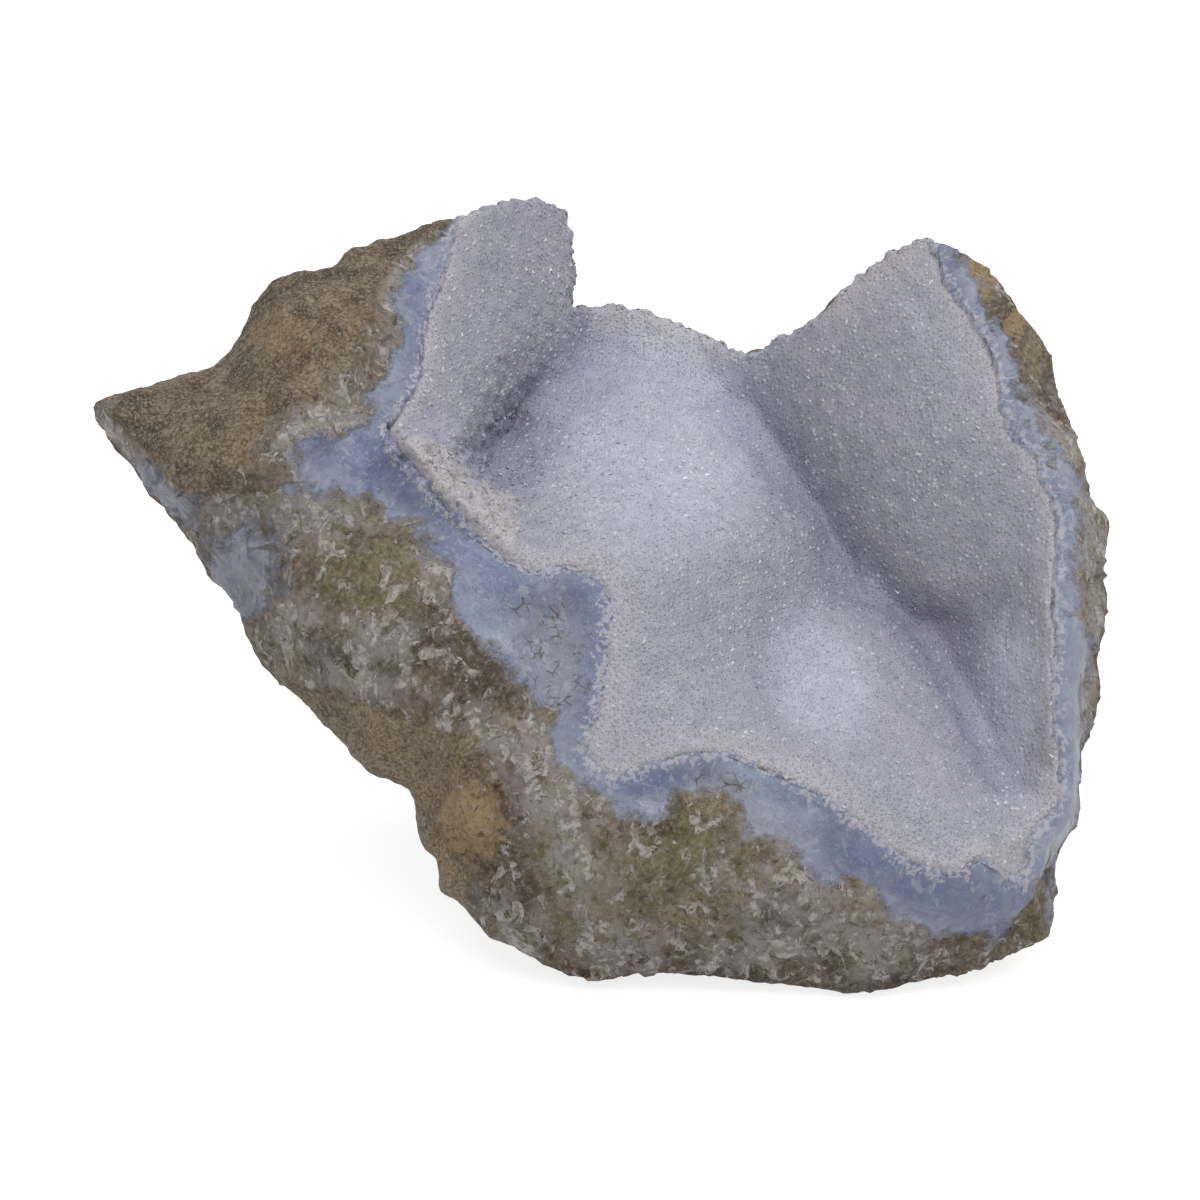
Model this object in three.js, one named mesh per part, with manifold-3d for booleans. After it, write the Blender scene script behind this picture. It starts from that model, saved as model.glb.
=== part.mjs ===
// Half of a broken blue lace agate geode, standing on a small flat spot of its own rock.
// Millimetres, +Z up. The origin is under the middle of the stone, on the surface it stands on.
//
// The stone is drawn in the frame of its open face: x to the right, y up the face and z towards the
// viewer. A point's x and y are where it is seen from VIEW_DISTANCE. The finished solids are then
// leaned back by LEAN and the foot is cut flat.

import * as THREE from 'three';
import { ConvexHull } from 'three/addons/math/ConvexHull.js';
import { ImprovedNoise } from 'three/addons/math/ImprovedNoise.js';
import { mergeVertices } from 'three/addons/utils/BufferGeometryUtils.js';
import Module from 'manifold-3d';

// Driving dimensions, in millimetres and degrees
const LEAN = 20;
const VIEW_DISTANCE = 600;
const FOOT_LEVEL = -51.2;
const CRUST_THICKNESS = 2.2;
const CRUST_STEP = 0.7;
const CLEARANCE = 0.35;
const RIM_CLEARANCE = 1.2;
const SEAT_TOP = 60;
const CRYSTAL_HEIGHT = [0.5, 1.4];
const ROCK_CELL = 4.4;
const BACK_CELL = 6.5;
const CRUST_CELL = 3.8;
const OUTLINE_STEP = 3.4;

// How far into the hollow the druse's broken edge pulls it level, and how sharp its valleys are
const EDGE_REACH = 12;
const EDGE_SPACING = 4.5;
const LIFT_BLEND = 3;
const VALLEY_SHARPNESS = 0.35;

// The stone's upper edge, which the crystals reach, from the right peak to the fin: [x, y]
const RIM = [
  [49.5, 54], [45.8, 52.5], [41.2, 49.8], [36.8, 45.8], [32.2, 41.3], [27, 38.7], [22.5, 36],
  [17.3, 38.3], [12, 40.8], [6, 42.9], [0, 43.8], [-5.1, 43.2], [-4.3, 48], [-4.9, 54],
  [-5.7, 57.8], [-12, 59.6], [-16.5, 58.5], [-21.3, 56.7],
];

// The rest of its outline, over the brown hill to the beak, under the foot and up the right side
const ROCK_EDGE = [
  [-24, 56.9, -18], [-30, 54.3, -16], [-33.3, 54, -15], [-37.5, 52.5, -14], [-39.8, 50.1, -13],
  [-45, 49.8, -12], [-49.5, 47.7, -12], [-52.2, 44.3, -12], [-54, 39.8, -11], [-56.7, 35.1, -10],
  [-60, 34.2, -9], [-67.5, 32.1, -7], [-73.8, 30.6, -5], [-76.2, 29.7, -5], [-75.8, 27, -4],
  [-73.5, 24, -4], [-69.8, 19.5, -3], [-66, 14.3, -3], [-60.8, 8.3, -2], [-57.8, 3, -2],
  [-54, -1.5, -1], [-52.5, -6, 0], [-50.3, -9.8, 0], [-45.8, -13.5, 2], [-42, -17.3, 3],
  [-38.3, -21.8, 4], [-34.5, -25.5, 5], [-29.7, -27.5, 6], [-27.8, -30, 7], [-26.3, -36, 8],
  [-24, -39.8, 9], [-23.3, -43.5, 9], [-20.3, -45.8, 9], [-16.5, -50.3, 10], [-12, -52.5, 10],
  [-6, -56.1, 10], [-1.5, -57.2, 11], [6, -56.1, 11], [13.5, -56.1, 12], [21, -57, 12],
  [30, -57.8, 12], [40, -59.6, 12], [48.8, -58.8, 11], [53.3, -57.3, 10], [58.5, -54.8, 9],
  [65.3, -52.2, 8], [67.5, -50.7, 8], [68.3, -43.5, 7], [69, -36.8, 7], [71.3, -33.8, 6],
  [72, -28.5, 5], [72.5, -21.8, 3], [74.3, -17.3, 1], [74.7, -12, 0], [74.7, -6, -1],
  [76.2, 0.3, -2], [75, 4.5, -3], [76.2, 8.3, -4], [75.5, 12, -5], [73, 16.5, -6],
  [72.3, 21.8, -7], [70.2, 27, -9], [68.6, 31.5, -11], [67.5, 36.8, -13], [64.5, 41.3, -15],
  [62.3, 43.5, -16], [60, 47.7, -18], [57, 50.7, -19], [53.3, 52.8, -20],
];

// The druse's broken edge, from the fin down round the ledge and the front lip to the right peak
const DRUSE_EDGE = [
  [-22.5, 51.5], [-24, 46.5], [-25.8, 43.5], [-26.4, 39], [-27.3, 31.5], [-30.5, 27.5],
  [-32.2, 24.5], [-30, 21.5], [-27, 18], [-24, 14.2], [-20.2, 10.5], [-16.5, 7.8], [-14.3, 6],
  [-11.2, 4.5], [-8.2, 3.8], [-5.3, 5.2], [-2.3, 4.2], [0, 3], [1.2, 0.8], [1.2, -3], [0.8, -9],
  [0, -15], [-1.5, -19.5], [-2.5, -22.5], [0, -25.5], [2.2, -26.8], [6, -25.2], [10.5, -23.7],
  [15, -22.8], [19.5, -23.2], [21.8, -24.3], [26.2, -25.8], [30, -27.8], [34.5, -30],
  [38.3, -33], [42.8, -36.8], [46.5, -39.3], [51, -40.8], [54, -40.8], [56.2, -38.7],
  [57.8, -39.3], [61.5, -41.7], [63.3, -42.8], [64, -39], [64.5, -35.3], [66, -33],
  [68.2, -31.5], [69.3, -28.5], [68.7, -23.2], [68, -18], [67.8, -12], [68.2, -6], [67.5, 0],
  [68, 3.8], [68.2, 9], [67.8, 14.3], [66.3, 18], [65.2, 21.8], [62.2, 24], [60.5, 27],
  [60, 32.2], [57.8, 38.2], [54.8, 43.5], [51, 48.8],
];

// Depths read off the broken face and the brown skin: [x, y, z]
const FACE_LANDMARKS = [
  [-60, 26, 2], [-62, 16.5, 4], [-45, 42, -2], [-42, 32, 4], [-33, 45, -6], [-50, 20, 9],
  [-52, 12, 6], [-33, 22, 7], [-38, 15, 9], [-27, 40, -5], [-25, 48, -11], [-31, 27, 2],
  [-33, 3, 15], [-56, 5, 3], [-45, -5, 10], [-30, -15, 16], [-15, 0, 15], [-3, -2, 12],
  [-20, 8, 12], [-12, -18, 18], [-2.5, -22.5, 18], [-25, -25, 14], [-19.5, -33, 16],
  [-10, -35, 19], [-15, -48, 14], [15, -23, 19], [10, -40, 21], [10, -52, 17], [30, -31, 21],
  [30, -45, 21], [45, -38, 22], [45, -52, 17], [60, -44, 19], [64, -49, 12], [67, -33, 15],
  [69, -28, 13], [68.5, -10, 8], [68, 0, 6], [67.5, 10, 3], [64, 22, -3], [60, 32, -8],
  [55, 43, -15], [50, 51, -20],
];

// Depths of the hidden back of the stone
const BACK_LANDMARKS = [
  [-70, 28, -14], [-58, 18, -26], [-45, 38, -34], [-20, 46, -46], [-40, 8, -42], [-10, 30, -56],
  [8, 34, -60], [30, 32, -58], [48, 40, -42], [62, 20, -34], [10, 10, -60], [40, 5, -56],
  [66, -10, -28], [-28, -20, -34], [-5, -20, -56], [25, -20, -58], [50, -25, -46],
  [0, -45, -44], [25, -48, -50], [50, -46, -38], [62, -44, -22], [-18, -42, -26],
];

// The botryoidal lobes of the hollow's wall: each is a tilted dome, and the front one shows.
// at is its middle, depth its z there, slope its fall along x and y, radius its roundness across
// and along an axis turned by turn degrees, and steepen its extra fall above its middle.
const LOBES = [
  { name: 'fin', at: [-18, 38], depth: -12, slope: [-1.3, -0.3], radius: [24, 80] },
  { name: 'back wall', at: [8, 41], depth: -41, slope: [0, -0.2], radius: [34, 60] },
  { name: 'mound', at: [4, 9], depth: 3.5, slope: [0, -0.4], radius: [24, 400], steepen: 1.15 },
  { name: 'front ridge', at: [39, -20], depth: 11, slope: [0, -0.85], radius: [17, 60], turn: 28 },
  { name: 'right wall', at: [50, 24], depth: -8, slope: [0.5, -0.2], radius: [56, 60] },
  { name: 'right hollow', at: [62, -14], depth: 3.5, slope: [1, -0.2], radius: [90, 90] },
];
const BROW_ROUNDNESS = 1.5;

// Creases between lobes: the fin's crevice and the long valley down from the rim's right notch.
// Each reaches its full depth a length of fade below its upper end.
const CREASES = [
  { path: [[-5, 43], [-8.5, 37], [-11, 31], [-13.5, 25.5], [-17, 20]], depth: 13, width: 8, fade: 20 },
  { path: [[22.5, 36], [25.5, 27], [30, 18], [36, 7], [42, 0], [49, -6], [54, -15], [58, -26]],
    depth: 3, width: 9, fade: 8 },
];

// The shelf under the right wall, where the wall steps back
const SHELF = { path: [[30, 8], [42, 0], [52.5, 1.5], [68, 6]], depth: 5, width: 6 };

// The cream ledge, a rounded bar of druse that overhangs the crevice beside the fin
const LEDGE = {
  path: [[-28, 23], [-25.5, 19.5], [-21.5, 15.5], [-17, 11.5], [-14, 9]],
  depth: 12,
  roundness: 1.2,
  fall: 4.5,
  footing: 2.8,
};

// The brown weathered skin stands over the broken face along this edge
const SKIN = [
  [-76, 30], [-68, 22], [-62, 16.5], [-50, 18.5], [-46, 21], [-40, 26], [-36, 31], [-34, 39],
  [-30, 46], [-30, 53], [-45, 56], [-60, 45],
];
const SKIN_STEP = 2.4;
const SKIN_BEVEL = 2.5;
const NODULE = { at: [-19.5, -33], halfWidth: 3.4, halfHeight: 5, height: 2.6 };

// Rough relief of the rock: [wavelength, height], and the same for the druse's gentle swell
const ROCK_RELIEF = [[17, 1.5], [8, 1.0], [5, 0.6]];
const BACK_RELIEF = [[28, 4.5], [13, 2.2]];
const DRUSE_RELIEF = [[11, 0.5]];

// How the side of the stone turns from its outline to its back, and how far along the outline its
// ragged edge is evened out on the way
const SIDE_MIDDLE = [-13, -2];
const SIDE_RINGS = 8;
const BACK_SCALE = 0.72;
const SIDE_SQUARENESS = 0.85;
const SIDE_EVENING = 7;

// The underside rises all round from the flat spot: its middle and half width, leaned back
const FOOT = { middle: [22, 0], half: [31, 32], bulge: 4 };

const noise = new ImprovedNoise();

const at = ([x, y], depth) => new THREE.Vector3(x, y, depth);

function relief(bands, x, y, z) {
  let sum = 0;
  for (const [wavelength, height] of bands) {
    sum += height * noise.noise(x / wavelength + 7.3, y / wavelength + 3.1, z / wavelength + 9.7);
  }
  return sum;
}

// The smooth surface through landmarks: a thin-plate spline z(x, y)
function thinPlate(points) {
  const kernel = (dx, dy) => {
    const square = dx * dx + dy * dy;
    return square > 0 ? square * Math.log(square) : 0;
  };
  const size = points.length + 3;
  const rows = points.map(([x, y, z]) => [
    ...points.map(([px, py]) => kernel(x - px, y - py)), 1, x, y, z,
  ]);
  for (let k = 0; k < 3; k += 1) {
    const plane = points.map((point) => [1, point[0], point[1]][k]);
    rows.push([...plane, 0, 0, 0, 0]);
  }
  const weights = solveLinear(rows, size);
  return (x, y) => {
    let z = weights[size - 3] + weights[size - 2] * x + weights[size - 1] * y;
    points.forEach(([px, py], i) => {
      z += weights[i] * kernel(x - px, y - py);
    });
    return z;
  };
}

// Gaussian elimination of rows of coefficients that end in the right-hand side
function solveLinear(rows, size) {
  for (let column = 0; column < size; column += 1) {
    let pivot = column;
    for (let r = column + 1; r < size; r += 1) {
      if (Math.abs(rows[r][column]) > Math.abs(rows[pivot][column])) pivot = r;
    }
    [rows[column], rows[pivot]] = [rows[pivot], rows[column]];
    for (let r = 0; r < size; r += 1) {
      if (r === column) continue;
      const share = rows[r][column] / rows[column][column];
      for (let c = column; c <= size; c += 1) rows[r][c] -= share * rows[column][c];
    }
  }
  return rows.map((row, i) => row[size] / row[i]);
}

function lobeDepth({ at: middle, depth, slope, radius, turn: degrees = 0, steepen = 0 }, x, y) {
  const [dx, dy] = [x - middle[0], y - middle[1]];
  const turn = THREE.MathUtils.degToRad(degrees);
  const across = dx * Math.cos(turn) + dy * Math.sin(turn);
  const along = dy * Math.cos(turn) - dx * Math.sin(turn);
  const dome = across ** 2 / (2 * radius[0]) + along ** 2 / (2 * radius[1]);
  const above = (dy + Math.hypot(dy, BROW_ROUNDNESS)) / 2;
  return depth + slope[0] * dx + slope[1] * dy - dome - steepen * above;
}

// Height of a path that runs to the right, above a point on the x axis
function heightOfPath(path, x) {
  const i = THREE.MathUtils.clamp(path.findIndex(([px]) => px > x), 1, path.length - 1);
  const [[ax, ay], [bx, by]] = [path[i - 1], path[i]];
  return ay + ((x - ax) / (bx - ax)) * (by - ay);
}

// The hollow's wall: the nearest lobe, with rounded valleys and creases between lobes
function hollowDepth(x, y) {
  const underShelf = THREE.MathUtils.smoothstep(heightOfPath(SHELF.path, x) - y, 0, SHELF.width);
  let sum = 0;
  for (const lobe of LOBES) {
    const undercut = lobe.name === 'right wall' ? SHELF.depth * underShelf : 0;
    sum += Math.exp(VALLEY_SHARPNESS * (lobeDepth(lobe, x, y) - undercut));
  }
  let depth = Math.log(sum) / VALLEY_SHARPNESS;
  for (const crease of CREASES) {
    const nearness = Math.max(0, 1 - distanceToPath(x, y, crease.path) / crease.width);
    const below = THREE.MathUtils.smoothstep(crease.path[0][1] - y, 0, crease.fade);
    depth -= crease.depth * below * nearness * nearness;
  }
  return depth;
}

function distanceToSegment(x, y, [ax, ay], [bx, by]) {
  const [dx, dy] = [bx - ax, by - ay];
  const share = THREE.MathUtils.clamp(((x - ax) * dx + (y - ay) * dy) / (dx * dx + dy * dy), 0, 1);
  return Math.hypot(x - ax - share * dx, y - ay - share * dy);
}

function distanceToPath(x, y, path) {
  let nearest = Infinity;
  for (let i = 1; i < path.length; i += 1) {
    nearest = Math.min(nearest, distanceToSegment(x, y, path[i - 1], path[i]));
  }
  return nearest;
}

function isInside(x, y, loop) {
  let inside = false;
  loop.forEach(([ax, ay], i) => {
    const [bx, by] = loop[(i + 1) % loop.length];
    if (ay > y !== by > y && x < ax + ((y - ay) / (by - ay)) * (bx - ax)) inside = !inside;
  });
  return inside;
}

const faceThroughLandmarks = thinPlate([...FACE_LANDMARKS, ...ROCK_EDGE]);
const backThroughLandmarks = thinPlate(BACK_LANDMARKS);

// The broken face of the rock, with the skin's step and the nodule
function faceDepth(x, y) {
  const toSkin = distanceToPath(x, y, [...SKIN, SKIN[0]]) * (isInside(x, y, SKIN) ? 1 : -1);
  const skin = SKIN_STEP * THREE.MathUtils.smoothstep(toSkin, -SKIN_BEVEL / 2, SKIN_BEVEL / 2);
  const nx = (x - NODULE.at[0]) / NODULE.halfWidth;
  const ny = (y - NODULE.at[1]) / NODULE.halfHeight;
  const nodule = NODULE.height * Math.sqrt(Math.max(0, 1 - nx * nx - ny * ny));
  return faceThroughLandmarks(x, y) + skin + nodule + relief(ROCK_RELIEF, x, y, 0);
}

function ledgeDepth(x, y) {
  const beside = Math.hypot(distanceToPath(x, y, LEDGE.path), LEDGE.roundness);
  return LEDGE.depth - LEDGE.fall * (beside - LEDGE.roundness);
}

// How far the druse has to be lifted at its broken edge to meet the broken face
const edgeLifts = DRUSE_EDGE.map(([x, y]) => (
  { x, y, lift: faceThroughLandmarks(x, y) + CRUST_STEP - hollowDepth(x, y) }
));

// The druse follows the lobes inside the hollow, and is lifted smoothly to meet its broken edge.
// The distance to that edge is taken from the sum of its points' weights, so it has no creases.
function druseDepth(x, y) {
  let weights = 0;
  let lifts = 0;
  for (const edge of edgeLifts) {
    const weight = 1 / ((x - edge.x) ** 2 + (y - edge.y) ** 2 + LIFT_BLEND ** 2) ** 1.5;
    weights += weight;
    lifts += weight * edge.lift;
  }
  const toEdge = Math.sqrt(Math.max(0, 2 / (EDGE_SPACING * weights) - LIFT_BLEND ** 2));
  const pull = Math.exp(-((toEdge / EDGE_REACH) ** 2));
  const wall = Math.max(hollowDepth(x, y) + (pull * lifts) / weights, ledgeDepth(x, y));
  return wall + relief(DRUSE_RELIEF, x, y, 5) * Math.min(1, toEdge / EDGE_REACH);
}

// Depth under the druse at a distance measured square to its surface
function depthUnderDruse(x, y, distance) {
  const step = 0.5;
  const slopeX = (druseDepth(x + step, y) - druseDepth(x - step, y)) / (2 * step);
  const slopeY = (druseDepth(x, y + step) - druseDepth(x, y - step)) / (2 * step);
  const stretch = Math.min(2.5, Math.hypot(1, slopeX, slopeY));
  return druseDepth(x, y) - distance * stretch;
}

function backDepth(x, y) {
  return backThroughLandmarks(x, y) + relief(BACK_RELIEF, x, y, -40);
}

// A closed loop through control points, with a step of about spacing between its points
function smoothLoop(points, spacing) {
  const curve = new THREE.CatmullRomCurve3(points, true, 'centripetal');
  const loop = [];
  points.forEach((point, i) => {
    const next = points[(i + 1) % points.length];
    const flat = Math.hypot(next.x - point.x, next.y - point.y);
    const pieces = Math.max(1, Math.round(flat / spacing));
    for (let k = 0; k < pieces; k += 1) loop.push(curve.getPoint((i + k / pieces) / points.length));
  });
  return loop;
}

// Points along the crest of the ledge and along both its feet, so that the sheet has its shape
function ledgePoints() {
  const points = [];
  LEDGE.path.forEach(([x, y], i) => {
    const [before, after] = [LEDGE.path[Math.max(0, i - 1)], LEDGE.path[i + 1] ?? [x, y]];
    const along = new THREE.Vector2(after[0] - before[0], after[1] - before[1]).normalize();
    for (const side of [-LEDGE.footing, 0, LEDGE.footing]) {
      points.push([x - side * along.y, y + side * along.x]);
    }
  });
  return points;
}

// A sheet of triangles z(x, y) that fills a loop: the loop's points, the marked points in it, and a
// staggered lattice between them
function fillLoop(loop, cell, depth, marked = []) {
  const flat = loop.map((p) => [p.x, p.y]);
  const toLoop = (x, y) => distanceToPath(x, y, [...flat, flat[0]]);
  const box = new THREE.Box3().setFromPoints(loop);
  const kept = marked.filter(([x, y]) => isInside(x, y, flat) && toLoop(x, y) > 1);
  const vertices = [...loop, ...kept.map(([x, y]) => at([x, y], depth(x, y)))];
  const rowHeight = cell * Math.sqrt(0.75);
  let row = 0;
  for (let y = box.min.y; y < box.max.y; y += rowHeight) {
    row += 1;
    for (let x = box.min.x - (row % 2) * cell * 0.5; x < box.max.x; x += cell) {
      const px = x + cell * 0.45 * noise.noise(x * 0.7, y * 0.7, 0.5);
      const py = y + cell * 0.45 * noise.noise(x * 0.7, y * 0.7, 8.5);
      if (!isInside(px, py, flat) || toLoop(px, py) < cell * 0.55) continue;
      if (kept.some(([x2, y2]) => Math.hypot(px - x2, py - y2) < cell * 0.55)) continue;
      vertices.push(new THREE.Vector3(px, py, depth(px, py)));
    }
  }
  return { vertices, triangles: delaunay(vertices, flat) };
}

// Delaunay triangles inside a loop: the underside of the hull of the points lifted to a bowl
function delaunay(vertices, loop) {
  const lifted = vertices.map((p) => new THREE.Vector3(p.x, p.y, p.x * p.x + p.y * p.y));
  const indexOf = new Map(lifted.map((p, i) => [p, i]));
  const triangles = [];
  for (const face of new ConvexHull().setFromPoints(lifted).faces) {
    if (face.normal.z >= 0) continue;
    const corners = [0, 1, 2].map((k) => indexOf.get(face.getEdge(k).head().point));
    const [a, b, c] = corners.map((i) => vertices[i]);
    const turn = (b.x - a.x) * (c.y - a.y) - (b.y - a.y) * (c.x - a.x);
    if (!isInside((a.x + b.x + c.x) / 3, (a.y + b.y + c.y) / 3, loop)) continue;
    triangles.push(turn > 0 ? corners : corners.reverse());
  }
  return triangles;
}

// A closed geometry: the front sheet, walls through rings of equal count, and the back sheet
function closedGeometry(front, rings, back) {
  const count = rings[0].length;
  const vertices = rings.flat();
  const triangles = [];
  for (let r = 1; r < rings.length; r += 1) {
    for (let i = 0; i < count; i += 1) {
      const [a, b] = [(r - 1) * count + i, (r - 1) * count + ((i + 1) % count)];
      triangles.push([a, a + count, b], [b, a + count, b + count]);
    }
  }
  const lastRing = (rings.length - 1) * count;
  for (const [sheet, ringStart, flip] of [[front, 0, false], [back, lastRing, true]]) {
    const inner = vertices.length - count;
    vertices.push(...sheet.vertices.slice(count));
    for (const corners of sheet.triangles) {
      const placed = corners.map((i) => (i < count ? ringStart + i : inner + i));
      triangles.push(flip ? placed.reverse() : placed);
    }
  }
  const geometry = new THREE.BufferGeometry();
  geometry.setAttribute('position', new THREE.Float32BufferAttribute(
    vertices.flatMap((p) => {
      const scale = 1 - p.z / VIEW_DISTANCE;
      return [p.x * scale, p.y * scale, p.z];
    }), 3));
  geometry.setIndex(triangles.flat());
  return leanBack(geometry);
}

// From the face's frame to the stone as it stands, +Z up, with its foot at height 0
function leanBack(geometry) {
  geometry.rotateX(Math.PI / 2 - THREE.MathUtils.degToRad(LEAN));
  return geometry.translate(0, 0, -FOOT_LEVEL);
}

// Lifts what hangs below a shallow bowl, so that only the flat spot is left to be cut
function roundUnderside(geometry) {
  const position = geometry.getAttribute('position');
  for (let i = 0; i < position.count; i += 1) {
    const x = (position.getX(i) - FOOT.middle[0]) / FOOT.half[0];
    const y = (position.getY(i) - FOOT.middle[1]) / FOOT.half[1];
    position.setZ(i, Math.max(position.getZ(i), FOOT.bulge * (x * x + y * y - 1)));
  }
  return geometry;
}

// Raises a crystal with three flat faces on every triangle of a sheet
function growCrystals(sheet) {
  const vertices = [...sheet.vertices];
  const triangles = [];
  const [low, high] = CRYSTAL_HEIGHT;
  sheet.triangles.forEach(([a, b, c]) => {
    const [pa, pb, pc] = [a, b, c].map((i) => vertices[i]);
    const normal = new THREE.Triangle(pa, pb, pc).getNormal(new THREE.Vector3());
    const middle = new THREE.Vector3().add(pa).add(pb).add(pc).divideScalar(3);
    const luck = 0.5 + noise.noise(middle.x * 1.3, middle.y * 1.3, 2.5);
    const lean = new THREE.Vector3().lerpVectors(pa, pb, luck).sub(middle).multiplyScalar(0.35);
    const tip = middle.clone().add(lean).addScaledVector(normal, low + (high - low) * luck);
    const top = vertices.push(tip) - 1;
    triangles.push([a, b, top], [b, c, top], [c, a, top]);
  });
  return { vertices, triangles };
}

const rimPoints = RIM.map((p) => at(p, druseDepth(...p)));
const rockLoop = smoothLoop([...rimPoints, ...ROCK_EDGE.map(([x, y, z]) => at([x, y], z))], OUTLINE_STEP);
const edgePoints = DRUSE_EDGE.map((p) => at(p, druseDepth(...p)));
const crustLoop = smoothLoop([...rimPoints, ...edgePoints], OUTLINE_STEP);
const druseSheet = fillLoop(crustLoop, CRUST_CELL, druseDepth, ledgePoints());

// A point moved straight away from the middle of the outline, or towards it, at its own depth
function fromMiddle(point, scale) {
  const [mx, my] = SIDE_MIDDLE;
  return new THREE.Vector3(mx + (point.x - mx) * scale, my + (point.y - my) * scale, point.z);
}

// A loop with each point at the mean of its neighbours, reach points each way, but never further out
function evenedOut(loop, reach) {
  const radius = (p) => Math.hypot(p.x - SIDE_MIDDLE[0], p.y - SIDE_MIDDLE[1]);
  return loop.map((point, i) => {
    const mean = new THREE.Vector3();
    for (let k = -reach; k <= reach; k += 1) mean.add(loop.at((i + k) % loop.length));
    mean.divideScalar(2 * reach + 1);
    return fromMiddle(mean, Math.min(1, radius(point) / radius(mean)));
  });
}

// The rock before the crust's seat is cut: broken face, rounded sides and back
function wholeRock() {
  const rings = [rockLoop];
  const evened = evenedOut(rockLoop, SIDE_EVENING);
  for (let r = 1; r <= SIDE_RINGS; r += 1) {
    const turn = (r / SIDE_RINGS) * (Math.PI / 2);
    const inward = (1 - BACK_SCALE) * (1 - Math.cos(turn) ** SIDE_SQUARENESS);
    const share = Math.sin(turn) ** SIDE_SQUARENESS;
    const evening = THREE.MathUtils.smoothstep(share, 0.25, 1);
    rings.push(rockLoop.map((ragged, i) => {
      const p = ragged.clone().lerp(evened[i], evening);
      const onBack = fromMiddle(p, BACK_SCALE);
      const back = Math.min(ragged.z - 6, backDepth(onBack.x, onBack.y));
      const z = THREE.MathUtils.lerp(ragged.z, back, share);
      const dent = r < SIDE_RINGS ? 0.02 * share * relief(BACK_RELIEF, p.x, p.y, z) : 0;
      const placed = fromMiddle(p, 1 - inward + Math.min(0, dent));
      placed.z = z;
      return placed;
    }));
  }
  const front = fillLoop(rockLoop, ROCK_CELL, (x, y) => faceDepth(x, y));
  return roundUnderside(closedGeometry(front, rings, fillLoop(rings.at(-1), BACK_CELL, backDepth)));
}

// The underside of the crust, or the floor of its seat, at a distance below the crystals
function crustUnderside(distance) {
  const vertices = druseSheet.vertices.map(({ x, y }) => at([x, y], depthUnderDruse(x, y, distance)));
  return { vertices, triangles: druseSheet.triangles, loop: vertices.slice(0, crustLoop.length) };
}

// The crust: crystals on top, and an underside that follows them at an even thickness
function druseCrust() {
  const underside = crustUnderside(CRUST_THICKNESS);
  return closedGeometry(growCrystals(druseSheet), [crustLoop, underside.loop], underside);
}

// What is cut from the rock to seat the crust, with clearance under and round it
function crustSeat() {
  const floor = crustUnderside(CRUST_THICKNESS + CLEARANCE);
  const floorEdge = floor.loop.map((p, i) => {
    const before = floor.loop.at(i - 1);
    const after = floor.loop[(i + 1) % floor.loop.length];
    const outward = new THREE.Vector3(after.y - before.y, before.x - after.x, 0).normalize();
    const onRim = distanceToPath(p.x, p.y, RIM) < 1;
    return p.clone().addScaledVector(outward, onRim ? RIM_CLEARANCE : CLEARANCE);
  });
  const topEdge = floorEdge.map((p) => at([p.x, p.y], SEAT_TOP));
  const top = fillLoop(topEdge, 20, () => SEAT_TOP);
  return closedGeometry(top, [topEdge, floorEdge, floor.loop], floor);
}

const wasm = await Module();
wasm.setup();

function toManifold(geometry) {
  const bare = new THREE.BufferGeometry();
  bare.setAttribute('position', geometry.getAttribute('position'));
  bare.setIndex(geometry.index);
  const merged = mergeVertices(bare, 1e-4);
  return new wasm.Manifold(new wasm.Mesh({
    numProp: 3,
    vertProperties: merged.getAttribute('position').array,
    triVerts: new Uint32Array(merged.index.array),
  }));
}

function toGeometry(manifold) {
  const { vertProperties, triVerts } = manifold.getMesh();
  const geometry = new THREE.BufferGeometry();
  geometry.setAttribute('position', new THREE.BufferAttribute(vertProperties, 3));
  geometry.setIndex(new THREE.BufferAttribute(triVerts, 1));
  return geometry;
}

// A cut can leave a loose sliver, so the stone is the largest piece that is left
function largestPiece(manifold) {
  return manifold.decompose().reduce((a, b) => (b.volume() > a.volume() ? b : a));
}

// Everything below the surface the stone stands on
const ground = toManifold(new THREE.BoxGeometry(400, 400, 200).translate(0, 0, -100));
const seated = toManifold(wholeRock()).subtract(toManifold(crustSeat())).subtract(ground);
const rock = toGeometry(largestPiece(seated));
const crust = druseCrust();

// Centre the two over the origin
const extent = new THREE.Box3();
for (const geometry of [rock, crust]) {
  geometry.computeBoundingBox();
  extent.union(geometry.boundingBox);
}
const middle = extent.getCenter(new THREE.Vector3());
for (const geometry of [rock, crust]) {
  geometry.translate(-middle.x, -middle.y, 0);
  geometry.computeVertexNormals();
}

const rockMesh = new THREE.Mesh(rock, new THREE.MeshStandardMaterial({
  name: 'agate_rock', color: 0x7d7568, roughness: 0.85, metalness: 0, flatShading: true,
}));
rockMesh.name = 'agate_rock';

const crustMesh = new THREE.Mesh(crust, new THREE.MeshStandardMaterial({
  name: 'druse', color: 0xa9a9bd, roughness: 0.35, metalness: 0, flatShading: true,
}));
crustMesh.name = 'crystal_crust';

const geode = new THREE.Group();
geode.name = 'blue_lace_agate_geode';
geode.add(rockMesh, crustMesh);

export default geode;
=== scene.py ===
"""Half of a broken blue lace agate geode: a rough brown stone with a blue agate layer and a hollow
lined with sugary quartz crystals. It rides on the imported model, which gives its shape and size."""

import math

import bmesh
import bpy
import numpy as np
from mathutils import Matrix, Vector, noise
from mathutils.kdtree import KDTree


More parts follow.
